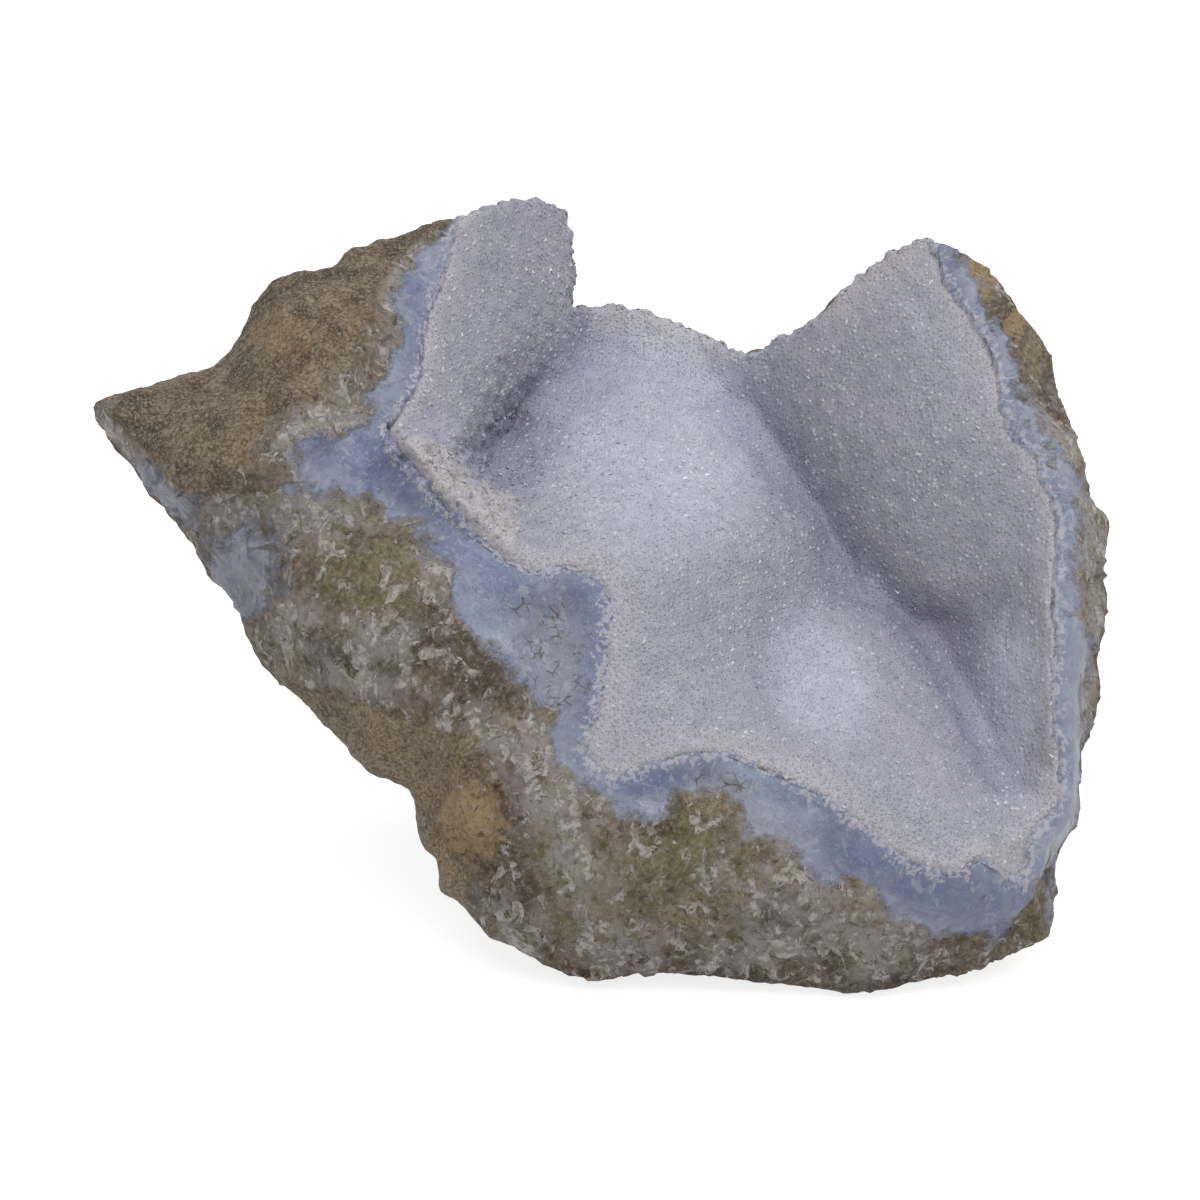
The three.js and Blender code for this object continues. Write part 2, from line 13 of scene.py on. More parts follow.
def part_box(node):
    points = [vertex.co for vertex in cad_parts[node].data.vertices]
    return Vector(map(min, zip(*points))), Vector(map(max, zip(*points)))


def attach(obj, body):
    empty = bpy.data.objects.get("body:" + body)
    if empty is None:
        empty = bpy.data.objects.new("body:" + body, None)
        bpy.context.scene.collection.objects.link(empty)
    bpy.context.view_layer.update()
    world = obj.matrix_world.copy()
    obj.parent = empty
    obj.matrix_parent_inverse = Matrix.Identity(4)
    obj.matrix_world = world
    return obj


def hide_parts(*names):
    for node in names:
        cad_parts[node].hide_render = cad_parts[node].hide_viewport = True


MM = 0.001

# How the stone was drawn: in the frame of its open face, leaned back, seen from in front
LEAN = math.radians(20)
VIEW_DISTANCE = 600
FOOT_LEVEL = -51.2
DRAWING_MIDDLE = (0.13, 16.54)

# The camera sees this many millimetres across, and this many metres far
PHOTO_WIDTH = 180
SIGHT = 20

# Fineness of the visual meshes in millimetres, and how many rounds of smoothing each gets
ROCK_VOXEL = 0.85
ROCK_SMOOTHING = 1
DRUSE_VOXEL = 0.62
DRUSE_SMOOTHING = 6

# The bed of the druse swells a little, and more at its sides, which closes its seam with the stone.
# Grain and all reliefs below are lists of [size, height] in millimetres.
BED_SWELL = 0.2
BED_GRAIN = [(3.0, 0.16), (1.3, 0.12)]
SEAM_SWELL = 0.4
SEAM_GRAIN = [(1.6, 0.9)]

# Each crystal has a tone from 0 to 1, and this is the tone of the bed between them
BED_TONE = 0.5

# How deep the base of a quartz crystal is sunk in the bed, as a share of its height
SUNKEN = 0.3

# Most crystals to a square metre before their spacing thins them out
CROWDED = 2e7

# Where the back of the stone turns into its open face, by how far it faces the viewer, from -1 to 1
FRONT = (-0.1, 0.35)

# Stone this far from the druse is exposed, so the druse ends beside it. From that edge it is creamy for
# CREAM_REACH millimetres. The other two are how creamy its edge and its ledge are.
EXPOSED = 1.2
CREAM_REACH = 6
CREAM_EDGE = 0.45
CREAM_LEDGE = 0.7

# The broken face rises over RIM_REACH to the top of the druse's rim, RIM_WIDTH wide, less RIM_DROP, but
# not where the druse is RIM_HEIGHT above it. Under the druse it stays RIM_HIDDEN deep, except in a strip
# of RIM_OVERLAP beside the face.
RIM_REACH = 7.0
RIM_WIDTH = 1.3
RIM_DROP = -0.1
RIM_HEIGHT = 9.0
RIM_HIDDEN = 0.3
RIM_OVERLAP = 1.2
RIM_GRAIN = [(1.8, 0.15), (0.9, 0.15)]

# Valleys of the druse get painted shade, by a point's depth in millimetres under the two sides of it, at
# these distances
VALLEY_REACH = (4, 6, 8)
VALLEY_DEPTH = (0.2, 2.6)

# Relief of the broken rock: chips are tilted flat facets, grain is fine roughness
CHIPS = [(6.5, 0.65), (2.8, 0.4)]
CHIPS_SEED = 3
ROCK_GRAIN = [(2.4, 0.3), (1.2, 0.3)]
SKIN_GRAIN = [(7.0, 1.0), (3.2, 0.5), (1.4, 0.3)]
AGATE_GRAIN = [(7.0, 0.3), (2.0, 0.08)]
AGATE_CHIPS = 0.12
LEDGE_GRAIN = [(2.2, 0.6), (1.1, 0.4)]

# How deep the skin lies round the back, and the agate beside the druse, as if inside their outlines
BACK_SKIN = 4
INNER_AGATE = 2.5

# How far crumbs of the druse reach over the agate at its ragged edge, in millimetres
FRINGE = 7.0

# The studio's light is brighter than white paper, so a colour is this much darker than its tone below
LIT = 0.62

# The tones of rock, skin, agate and druse: red, green and blue from 0 to 255
COLOURS = {
    "rock shade": (108, 92, 74),
    "rock light": (156, 139, 115),
    # sandy rock, paler with painted light
    "rock sand": (152, 134, 110),
    "rock olive": (130, 118, 89),
    "rock yellow": (138, 131, 84),
    "rock brown": (84, 70, 59),
    "rock rust": (112, 82, 70),
    "rock ochre": (178, 150, 108),
    "rock dark grain": (62, 52, 44),
    "rock pale grain": (186, 176, 160),
    "rock veil": (178, 172, 170),
    "dull flake": (164, 154, 142),
    "white flake": (212, 206, 202),
    # painted shade in the rock's pits
    "rock pit": (58, 49, 42),
    "skin shade": (94, 78, 61),
    "skin light": (148, 131, 108),
    "skin fold": (78, 63, 50),
    # sandy skin, paler with painted light
    "skin sand": (162, 143, 119),
    "skin ochre": (172, 142, 100),
    "skin ochre cloud": (158, 130, 92),
    "skin pale cloud": (154, 146, 133),
    # painted shade in the skin's folds
    "skin rust": (88, 66, 54),
    "skin tan": (130, 108, 78),
    "skin dark grain": (82, 69, 56),
    "skin pale grain": (168, 155, 136),
    "skin black sand": (58, 48, 39),
    "skin white sand": (188, 177, 160),
    "agate shade": (108, 116, 139),
    "agate light": (132, 140, 158),
    "agate cloud": (146, 151, 165),
    "agate band": (158, 165, 180),
    "agate deep": (92, 99, 136),
    "agate cracked": (106, 110, 120),
    "agate pale": (138, 144, 160),
    "agate inner": (106, 114, 140),
    "agate outer": (158, 159, 165),
    "agate flake": (174, 178, 186),
    "agate rim": (186, 189, 194),
    "agate stain": (104, 96, 90),
    "agate crack": (72, 62, 56),
    "crumb": (164, 162, 172),
    "sugar shade": (140, 141, 155),
    "sugar light": (153, 153, 166),
    # milky quartz, and painted light where the druse faces the light
    "milk shade": (165, 169, 185),
    "milk light": (176, 180, 194),
    "lilac": (160, 154, 172),
    # painted shade for the druse's valleys
    "valley": (112, 109, 142),
    "cream": (184, 177, 174),
    "dull crystal": (118, 118, 138),
    "bright crystal": (220, 221, 230),
    "dark speck": (66, 64, 80),
}

# The studio: a floor in metres, an even light from all sides and a wide soft one from above
FLOOR_REACH = 6.0
SKY_STRENGTH = 0.86
TOP_LIGHT_STRENGTH = 3.2
TOP_LIGHT_SPREAD = math.radians(75)
TOP_LIGHT_FROM = (0.2, -0.25, 1)

# The outer edge of the blue agate layer on the broken face: [x, y] in millimetres
AGATE_EDGE = [
    (50, 53.5), (54.5, 50.5), (57.5, 46.5), (60, 40.5), (61.5, 34.5), (64.5, 30), (66.5, 24), (71, 19.5),
    (73, 12), (72.5, 6), (71, 0), (73.5, -7.5), (72.5, -15), (72, -24), (72.5, -30), (71.3, -34.5),
    (66.7, -40.5), (60, -50.2), (57.5, -50.7), (54, -50.2), (49.5, -50.2), (45, -48), (42, -43.5),
    (37.5, -42), (33, -41.2), (30, -40.5), (28.5, -37.5), (25.5, -36), (22.5, -35.2), (21.7, -30),
    (18, -29.2), (13.5, -29.2), (9, -31.5), (6, -32.2), (3, -31.5), (0, -28.5), (-3, -25.5), (-5.2, -22.5),
    (-7.5, -20.2), (-8.2, -17.2), (-10.5, -13.5), (-12.7, -10.5), (-16.5, -7.5), (-20.2, -6), (-22.5, -3),
    (-23.2, 1.5), (-22.5, 4.5), (-25.5, 9), (-30, 12), (-34.5, 15), (-40.5, 16.5), (-46.5, 16.5),
    (-46.5, 19.5), (-45, 24), (-39, 25.5), (-34.5, 30), (-30.7, 39), (-30, 45), (-28.5, 51), (-22.5, 57),
]

# The edges of the brown weathered skin on the broken face, above on the beak and below on the left
SKIN_EDGES = [
    [(-77, 31), (-73, 27), (-68, 22.5), (-63.5, 16.5), (-55.5, 16.5), (-53.5, 20), (-50, 23),
     (-46, 29), (-39.5, 33), (-35, 40), (-34, 45), (-31.5, 50.5), (-28, 52.5), (-22.5, 57),
     (-22, 62), (-45, 62), (-80, 45)],
    [(-47.2, -13.2), (-39, -13.5), (-30, -17.7), (-18.8, -20.7), (-17, -26.2), (-21.8, -28.5),
     (-23.2, -33), (-22.2, -37.5), (-19.5, -40.5), (-20, -47), (-32, -47), (-40, -30), (-55, -15)],
]

# Patches on the broken face: [x, y], half width, half height and turn in degrees
PATCHES = {
    "olive": [((-35.5, 3.5), 12, 8.5, -10), ((-45, -4), 6, 6, 0), ((11, -40), 13, 8, 0),
              ((-1, -49), 9, 7, 0), ((21, -50), 6, 5, 0), ((-52, 13.5), 5, 4, 0),
              ((-31, 38), 2.5, 5, -20), ((40, -52), 5, 3, 0), ((66, -48), 5, 7, 0)],
    "yellow": [((-32, 1.5), 4, 6, 0), ((13, -36), 5, 4, -20), ((-7, -38), 5, 4, 0)],
    "white": [((-42, 12.5), 8, 3.5, -10), ((-56, 12), 6, 3.5, 0), ((-25, 5), 2.5, 6, 15),
              ((-46, -5), 4, 5, 0), ((-33, -6), 7, 3, -10), ((-37, -12), 9, 2.2, -15),
              ((-44, 26), 4, 5.5, 0), ((73, -6), 3, 9, 0),
              ((-36.5, 28), 6, 3.5, 20), ((-29.5, 46), 2.5, 8, -12), ((-11, -23), 8, 5, -35),
              ((-7, -31), 4.5, 4, 0), ((-4, -39), 5, 6, -20), ((-13, -48), 5, 3, -30),
              ((3, -52), 6, 3, 0), ((22, -52), 5, 3, 0), ((31, -42), 10, 7, -25), ((38, -51), 10, 4.5, 0),
              ((-75, 27), 4, 5, 0),
              ((-70, 20.5), 7, 2.5, -45), ((-16, -6), 3, 2, -40), ((73, 10), 3.5, 8, 0),
              ((68, 24), 3, 6, 0)],
    "brown": [((-20, -9), 9, 6.5, -30), ((-14, -37), 5, 10, 0), ((14, -57), 26, 4, 0),
              ((27, -50), 4, 4, 0), ((-24, -45), 5, 9, 30), ((-38, -9), 9, 3, -20),
              ((50, -57), 14, 3, 5), ((8, -33), 4, 2, -30),
              ((62, 44), 3, 8, -30), ((68, 33), 2, 5, -20)],
    "ochre": [((-19.5, -32.3), 4.6, 6.6, 0), ((-48, 40), 4, 3, 0), ((57.5, 49.5), 3, 3, -45),
              ((62, 41), 1.5, 3, -30)],
    "rust": [((-12.5, -29), 3, 4.5, 0), ((-28, -15.5), 12, 1.6, -15), ((4, -56), 12, 1.5, 0)],
    "blue": [((-54.5, 3.5), 6, 7.5, -30), ((-66.5, 16.5), 7, 2.6, -35), ((70, -35), 3, 12, 0)],
    "deep": [((-33, 20), 11, 5, -20), ((-23.5, 11), 9, 4, -48), ((-14, 3), 5, 3, -30), ((-2, 1), 4, 4, 0),
             ((0, -10), 2.5, 10, 0), ((43, -41), 10, 3, -25), ((-27.5, 44), 2.5, 10, 10),
             ((58, -47), 6, 4, 0), ((10, -27), 7, 2, 15)],
    "pale": [((67, -36), 5, 10, -30), ((69.5, -8), 3, 16, 0), ((28, -36), 7, 3, -35), ((12, -31), 8, 2, 10),
             ((-6, -24), 5, 3, -45)],
    "cracks": [((-7.5, -5.5), 5.5, 6.5, 0), ((-5, -13), 3, 4, 0), ((18, -27.5), 4, 2, 0)],
    # The sandy patches are also painted light: paler where the face turns away from the light
    "sand": [((-31, -23), 10, 7, -45), ((-22, -43), 4, 7, 20)],
}

# The nodule that stands out of the skin, and by how many millimetres
NODULE = ((-19.5, -32.3), 4.8, 6.8, 0)
NODULE_RISE = 1.2

# The druse's creamy ledge beside the crevice and its ragged edge, where the druse has painted glints, and
# where it is milky and paler with painted light
LEDGE_PATCHES = [((-23.5, 19.5), 7, 3, -45), ((-17.5, 12.5), 6.5, 5, -42)]
LEDGE_RAGGED = [(3.0, 0.5), (1.3, 0.4)]
PAINTED_GLINT_PATCHES = [((17.3, -18.4), 2.6, 1.8, 0), ((23.3, -19.8), 3, 2, 0), ((61.5, -28.5), 4, 4.5, 0),
                   ((13, 20), 8, 9, 0)]
MILKY_AND_LIT_PATCHES = [((9, 25), 24, 26, 0), ((33, -12), 10, 13, 30), ((61, -14), 7, 15, 0)]


# Small helpers


def face_axes():
    """The drawing's right, up and towards-the-viewer directions, in the frame of the model."""
    right = Vector((1, 0, 0))
    up = Vector((0, math.sin(LEAN), math.cos(LEAN)))
    toward = Vector((0, -math.cos(LEAN), math.sin(LEAN)))
    return right, up, toward


def face_origin():
    """Where the middle of the drawing stands in the model, in metres."""
    return Vector((-DRAWING_MIDDLE[0], -DRAWING_MIDDLE[1], -FOOT_LEVEL)) * MM


def drawn(points):
    """Model points in metres as drawn: x and y as seen from the viewer, and depth, in millimetres."""
    local = (points - np.array(face_origin())) @ np.array(face_axes()).T / MM
    nearness = 1 - local[:, 2] / VIEW_DISTANCE
    return local[:, 0] / nearness, local[:, 1] / nearness, local[:, 2]


def mesh_points(mesh):
    """The mesh's vertices, in metres, one per row."""
    points = np.empty(len(mesh.vertices) * 3)
    mesh.vertices.foreach_get("co", points)
    return points.reshape(-1, 3)


def mesh_normals(mesh):
    normals = np.empty(len(mesh.vertices) * 3)
    mesh.vertex_normals.foreach_get("vector", normals)
    return normals.reshape(-1, 3)


def set_points(mesh, points):
    mesh.vertices.foreach_set("co", points.ravel())
    mesh.update()


def set_field(mesh, name, values):
    """Stores one number per vertex, which a material reads by name."""
    mesh.attributes.new(name, "FLOAT", "POINT").data.foreach_set("value", np.asarray(values, np.float32))


def smoothstep(values, low, high):
    """0 below low, 1 above high, smooth between."""
    share = np.clip((values - low) / (high - low), 0, 1)
    return share * share * (3 - 2 * share)


def inside_distance(x, y, outline):
    """Distance in millimetres to a closed outline, positive inside it."""
    nearest = np.full(len(x), np.inf)
    inside = np.zeros(len(x), bool)
    for (ax, ay), (bx, by) in zip(outline, outline[1:] + outline[:1]):
        dx, dy = bx - ax, by - ay
        share = np.clip(((x - ax) * dx + (y - ay) * dy) / (dx * dx + dy * dy), 0, 1)
        nearest = np.minimum(nearest, np.hypot(x - ax - share * dx, y - ay - share * dy))
        if ay != by:
            inside ^= ((ay > y) != (by > y)) & (x < ax + (y - ay) / (by - ay) * dx)
    return np.where(inside, nearest, -nearest)


def patch_field(x, y, patches):
    """1 in the middle of each patch, falling to 0 at its edge and below 0 outside."""
    field = np.full(len(x), -1.0)
    for (px, py), half_width, half_height, turn in patches:
        angle = math.radians(turn)
        along = (x - px) * math.cos(angle) + (y - py) * math.sin(angle)
        across = (y - py) * math.cos(angle) - (x - px) * math.sin(angle)
        field = np.maximum(field, 1 - np.hypot(along / half_width, across / half_height))
    return field


def grain(points, bands, seed):
    """Fine relief in millimetres: the sum of noise of each [size, height]."""
    shift = Vector((seed, 2 * seed, 3 * seed))
    result = np.zeros(len(points))
    for size, height in bands:
        scale = 1 / (size * MM)
        values = (noise.noise(Vector(p) * scale + shift) for p in points)
        result += height * np.fromiter(values, float, len(points))
    return result


def chips(points, bands):
    """Relief in millimetres of a surface that broke in small flat facets, tilted each its own way."""
    noise.seed_set(CHIPS_SEED)
    result = np.zeros(len(points))
    for size, height in bands:
        scale = 1 / (size * MM)
        heights = []
        for p in points:
            place = Vector(p) * scale
            middle = noise.voronoi(place)[1][0]
            tilt = noise.noise_vector(middle * 7.31)
            heights.append((place - middle).dot(tilt) * 2 + noise.noise(middle * 3.7))
        result += height * np.array(heights)
    return result


def tree_of(places):
    """A tree that finds the nearest of the places, each by its number."""
    tree = KDTree(len(places))
    for i, place in enumerate(places):
        tree.insert(place, i)
    tree.balance()
    return tree


def distances(places, tree):
    """How far each place is from the nearest one in the tree."""
    return np.array([tree.find(place)[2] for place in places])


def visual_copy(name, node, voxel, smoothing):
    """A closed, even mesh of a CAD node, as an object of its own. Large points are taken off."""
    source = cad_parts[node]
    piece = bpy.data.objects.new(name, source.data.copy())
    bpy.context.scene.collection.objects.link(piece)
    shape = bmesh.new()
    shape.from_mesh(piece.data)
    bmesh.ops.remove_doubles(shape, verts=shape.verts, dist=1e-6)
    if node == "crystal_crust":
        points = [vertex for vertex in shape.verts if len(vertex.link_edges) == 3]
        bmesh.ops.dissolve_verts(shape, verts=points)
    shape.to_mesh(piece.data)
    shape.free()
    remesh = piece.modifiers.new("remesh", "REMESH")
    remesh.mode = "VOXEL"
    remesh.voxel_size = voxel * MM
    smooth = piece.modifiers.new("smooth", "SMOOTH")
    smooth.factor = 0.5
    smooth.iterations = smoothing
    return applied(piece)


def applied(piece):
    """The piece with its modifiers made part of its mesh."""
    evaluated = piece.evaluated_get(bpy.context.evaluated_depsgraph_get())
    mesh = bpy.data.meshes.new_from_object(evaluated)
    mesh.name = piece.name
    piece.modifiers.clear()
    piece.data = mesh
    return piece


def kept_in_box(points, *nodes):
    """The points moved no further out than the box of the CAD nodes."""
    low = np.min([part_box(node)[0] for node in nodes], axis=0)
    high = np.max([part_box(node)[1] for node in nodes], axis=0)
    return np.clip(points, low, high)


def shade_smooth(mesh):
    mesh.polygons.foreach_set("use_smooth", np.ones(len(mesh.polygons), bool))


# Shader maths


class Field:
    """An output socket of a shader, on which Python's arithmetic adds Math nodes."""

    def __init__(self, shader, socket):
        self.shader = shader
        self.socket = socket

    def math(self, operation, *values):
        """A Math node on the values, some of which may be plain numbers."""
        inputs = dict(enumerate(values))
        return self.shader.node("ShaderNodeMath", {"operation": operation}, inputs)["Value"]

    def __add__(self, other):
        return self.math("ADD", self, other)

    def __sub__(self, other):
        return self.math("SUBTRACT", self, other)

    def __rsub__(self, other):
        return self.math("SUBTRACT", other, self)

    def __mul__(self, other):
        return self.math("MULTIPLY", self, other)

    __radd__ = __add__
    __rmul__ = __mul__

    def step(self, low, high):
        """0 below low, 1 above high, smooth between."""
        values = {"Value": self, "From Min": low, "From Max": high}
        node = self.shader.node("ShaderNodeMapRange", {"interpolation_type": "SMOOTHSTEP"}, values)
        return node["Result"]


class Node:
    """A shader node, whose outputs are read by name."""

    def __init__(self, shader, node):
        self.shader = shader
        self.node = node

    def __getitem__(self, name):
        return Field(self.shader, find_socket(self.node.outputs, name))


def find_socket(sockets, name):
    """A socket by number, identifier or name."""
    if isinstance(name, int):
        return sockets[name]
    for socket in sockets:
        if socket.identifier == name:
            return socket
    return sockets[name]


class Shader:
    """A material's nodes. It has one Principled surface."""

    def __init__(self, name, **constants):
        self.material = bpy.data.materials.new(name)
        self.material.use_nodes = True
        self.tree = self.material.node_tree
        self.surface = self.tree.nodes["Principled BSDF"]
        for socket, value in constants.items():
            self.surface.inputs[socket.replace("_", " ")].default_value = value

    def node(self, kind, settings=None, values=None):
        """A new node, with its settings, then the values or links of its sockets."""
        node = self.tree.nodes.new(kind)
        for setting, value in (settings or {}).items():
            setattr(node, setting, value)
        for name, value in (values or {}).items():
            self.feed(find_socket(node.inputs, name), value)
        return Node(self, node)

    def feed(self, socket, value):
        if isinstance(value, Field):
            self.tree.links.new(value.socket, socket)
        else:
            socket.default_value = value

    def field(self, name):
        """A number stored on the mesh."""
        return self.node("ShaderNodeAttribute", {"attribute_name": name})["Fac"]

    def place(self):
        """The point on the object, in metres."""
        return self.node("ShaderNodeTexCoord")["Object"]

    def noise(self, size, detail=3, roughness=0.55, stretch=None, distortion=0.0):
        """Noise from 0 to 1, whose blotches are about size millimetres across."""
        where = self.place()
        if stretch:
            where = self.node("ShaderNodeMapping", {}, {"Vector": where, "Scale": stretch})["Vector"]
        values = {"Vector": where, "Scale": 1 / (size * MM), "Detail": detail, "Roughness": roughness,
                  "Distortion": distortion}
        return self.node("ShaderNodeTexNoise", {}, values)["Fac"]

    def cells(self, size, feature="F1", warp=0.0):
        """A Voronoi pattern of cells about size millimetres across, warped by warp millimetres."""
        where = self.place()
        if warp:
            values = {"Vector": where, "Scale": 1 / (size * MM)}
            sway = self.node("ShaderNodeTexNoise", {}, values)["Color"]
            sway = self.node("ShaderNodeVectorMath", {"operation": "SCALE"}, {0: sway, "Scale": warp * MM})
            moved = self.node("ShaderNodeVectorMath", {"operation": "ADD"}, {0: where, 1: sway["Vector"]})
            where = moved["Vector"]
        values = {"Vector": where, "Scale": 1 / (size * MM)}
        return self.node("ShaderNodeTexVoronoi", {"feature": feature}, values)

    def mix(self, first, second, share):
        """The colour first where share is 0, and second where it is 1."""
        values = {"Factor_Float": share, "A_Color": first, "B_Color": second}
        return self.node("ShaderNodeMix", {"data_type": "RGBA"}, values)["Result_Color"]

    def bump(self, height, distance):
        """A normal bumped by a height from 0 to 1, which stands for distance millimetres."""
        values = {"Height": height, "Distance": distance * MM}
        return self.node("ShaderNodeBump", {}, values)["Normal"]

    def finish(self, **inputs):
        """The material, with these values or links on its surface."""
        for socket, value in inputs.items():
            self.feed(self.surface.inputs[socket.replace("_", " ")], value)
        return self.material


def shade(name):
    """One of the colours as the linear colour that a shader takes."""
    channels = [c / 255 for c in COLOURS[name]]
    linear = [c / 12.92 if c <= 0.04045 else ((c + 0.055) / 1.055) ** 2.4 for c in channels]
    return (*(LIT * c for c in linear), 1.0)


# Materials


def flakes_of(s, size, density):
    """Ragged flakes about size millimetres across. Density moves how much they cover."""
    cloud = s.noise(size, 8, 0.66, stretch=(1.0, 1.4, 0.7), distortion=0.9)
    return (cloud + s.cells(size * 0.7, warp=size * 0.6)["Color"] * 0.12 - 0.06 + density).step(0.515, 0.54)


def grains_of(s, size, colour, dark, pale, strength):
    """The colour with dark and pale grains about size millimetres across."""
    fine = s.noise(size, 6, 0.75)
    colour = s.mix(colour, dark, fine.step(0.51, 0.6) * strength)
    return s.mix(colour, pale, (1 - fine).step(0.51, 0.61) * strength)


def lines_of(s, size, width):
    """Thin curved lines, such as the painted shade of folds and the pale edges of chips, as a share of size
    wide.
    """
    wave = s.noise(size, 4, 0.55, distortion=1.4) - 0.5
    return 1 - wave.math("ABSOLUTE", wave).step(width * 0.3, width)


def host_rock_colour(s, patch):
    """Brown rock with olive patches, soft white veils, ragged pale flakes and painted shade in its pits,
    and where the flakes are.
    """
    rock = s.mix(shade("rock shade"), shade("rock light"), s.noise(6.5, 7, 0.62).step(0.4, 0.6))
    # Painted light: paler sandy patches where the rock faces away from the light
    rock = s.mix(rock, shade("rock sand"), patch("sand", 1.6) * 0.6)
    rock = s.mix(rock, shade("rock olive"), patch("olive", 1.6) * 0.75)
    rock = s.mix(rock, shade("rock yellow"), patch("yellow", 2.0) * 0.5)
    rock = s.mix(rock, shade("rock brown"), patch("brown", 1.4) * 0.75)
    rock = s.mix(rock, shade("rock rust"), patch("rust", 1.2) * 0.55)
    rock = s.mix(rock, shade("rock ochre"), patch("ochre", 0.5) * 0.85)
    rock = grains_of(s, 0.9, rock, shade("rock dark grain"), shade("rock pale grain"), 0.45)
    white = patch("white", 2.2)
    veil = white * s.noise(4.0, 7, 0.62, distortion=0.5).step(0.38, 0.54)
    rock = s.mix(rock, shade("rock veil"), veil * 0.85)
    density = white * 0.06 - patch("ochre", 0.8) * 0.1
    flakes = flakes_of(s, 3.2, density + s.noise(8, 3) * 0.18 - 0.125)
    tone = s.mix(shade("dull flake"), shade("white flake"), s.noise(1.2, 5, 0.7).step(0.42, 0.6))
    rock = s.mix(rock, tone, flakes * 0.85)
    # Painted shade: dark pits, fewer on the flakes
    pit_shade = s.noise(1.6, 7, 0.7, distortion=0.6).step(0.58, 0.62)
    return s.mix(rock, shade("rock pit"), pit_shade * (1 - flakes * 0.8) * 0.6), flakes


def skin_colour(s, patch):
    """Brown sandy skin with painted shade in its folds, and ochre and pale clouds."""
    cloud = s.noise(6.0, 6, 0.7, distortion=0.4)
    ochre_cloud = s.noise(24, 5, 0.6).step(0.54, 0.64)
    pale_cloud = s.noise(17, 7, 0.65, distortion=0.6).step(0.55, 0.6)
    body = s.mix(shade("skin shade"), shade("skin light"), cloud.step(0.38, 0.6))
    # Painted shade: dark lines where the skin folds
    body = s.mix(body, shade("skin fold"), lines_of(s, 7.0, 0.05) * 0.5)
    # Painted light: paler sandy patches where the skin faces away from the light
    body = s.mix(body, shade("skin sand"), patch("sand", 1.6) * 0.85)
    body = s.mix(body, shade("skin ochre"), patch("ochre", 0.7) * 0.75)
    body = s.mix(body, shade("skin ochre cloud"), ochre_cloud * 0.6)
    body = s.mix(body, shade("skin pale cloud"), pale_cloud * 0.5)
    body = s.mix(body, shade("skin rust"), patch("rust", 1.2) * 0.5)
    body = s.mix(body, shade("skin tan"), s.noise(9, 4).step(0.5, 0.65) * 0.4)
    body = grains_of(s, 1.8, body, shade("skin dark grain"), shade("skin pale grain"), 0.4)
    return grains_of(s, 0.5, body, shade("skin black sand"), shade("skin white sand"), 0.65)


def agate_bands(s, to_druse):
    """Faint bands that follow the druse's edge."""
    wander = s.noise(9, 3) * 5 + to_druse
    values = {"W": wander, "Scale": 0.9, "Detail": 2, "Roughness": 0.5}
    return s.node("ShaderNodeTexNoise", {"noise_dimensions": "1D"}, values)["Fac"].step(0.5, 0.7)


def agate_colour(s, to_druse, patch):
    """Blue chalcedony, soft and cloudy, deeper next to the druse and paler towards the rock."""
    cloud = s.noise(7.0, 4, 0.5, distortion=0.4)
    small_cloud = s.noise(3.6, 5, 0.6, distortion=0.3)
    body = s.mix(shade("agate shade"), shade("agate light"), cloud.step(0.38, 0.62))
    body = s.mix(body, shade("agate cloud"), small_cloud.step(0.5, 0.66) * 0.35)
    body = s.mix(body, shade("agate band"), agate_bands(s, to_druse) * 0.25)
    body = s.mix(body, shade("agate deep"), patch("deep", 1.8) * 0.85)
    body = s.mix(body, shade("agate cracked"), patch("cracks", 2.0) * 0.6)
    body = s.mix(body, shade("agate pale"), patch("pale", 1.6) * 0.5)
    body = s.mix(body, shade("agate inner"), (1 - to_druse.step(0.6, 2.6)) * 0.5)
    outer = (1 - s.field("agate").step(0.0, 5.0)) * s.noise(3.0, 6, 0.65, distortion=0.6).step(0.4, 0.6)
    body = s.mix(body, shade("agate outer"), outer * 0.35)
    body = s.mix(body, shade("agate flake"), flakes_of(s, 2.4, -0.07) * 0.3)
    body = s.mix(body, shade("agate rim"), lines_of(s, 3.2, 0.012) * 0.25)
    body = cracked(s, body, patch)
    fringe = to_druse + (s.noise(0.8, 4, 0.7) - 0.5) * FRINGE
    return s.mix(body, shade("crumb"), (1 - fringe.step(0.3, 0.45)) * 0.9)


def cracked(s, body, patch):
    """The agate's colour with brown cracks and a stain round them, in the patches of cracks."""
    veins = s.cells(2.0, "DISTANCE_TO_EDGE", warp=1.3)["Distance"]
    broken = s.noise(2.2, 4).step(0.46, 0.56) * patch("cracks", 0.5)
    stain = s.noise(1.4, 5).step(0.52, 0.66) * broken * 0.5
    stained = s.mix(body, shade("agate stain"), stain)
    return s.mix(stained, shade("agate crack"), (1 - veins.step(0.02, 0.08)) * broken * 0.85)


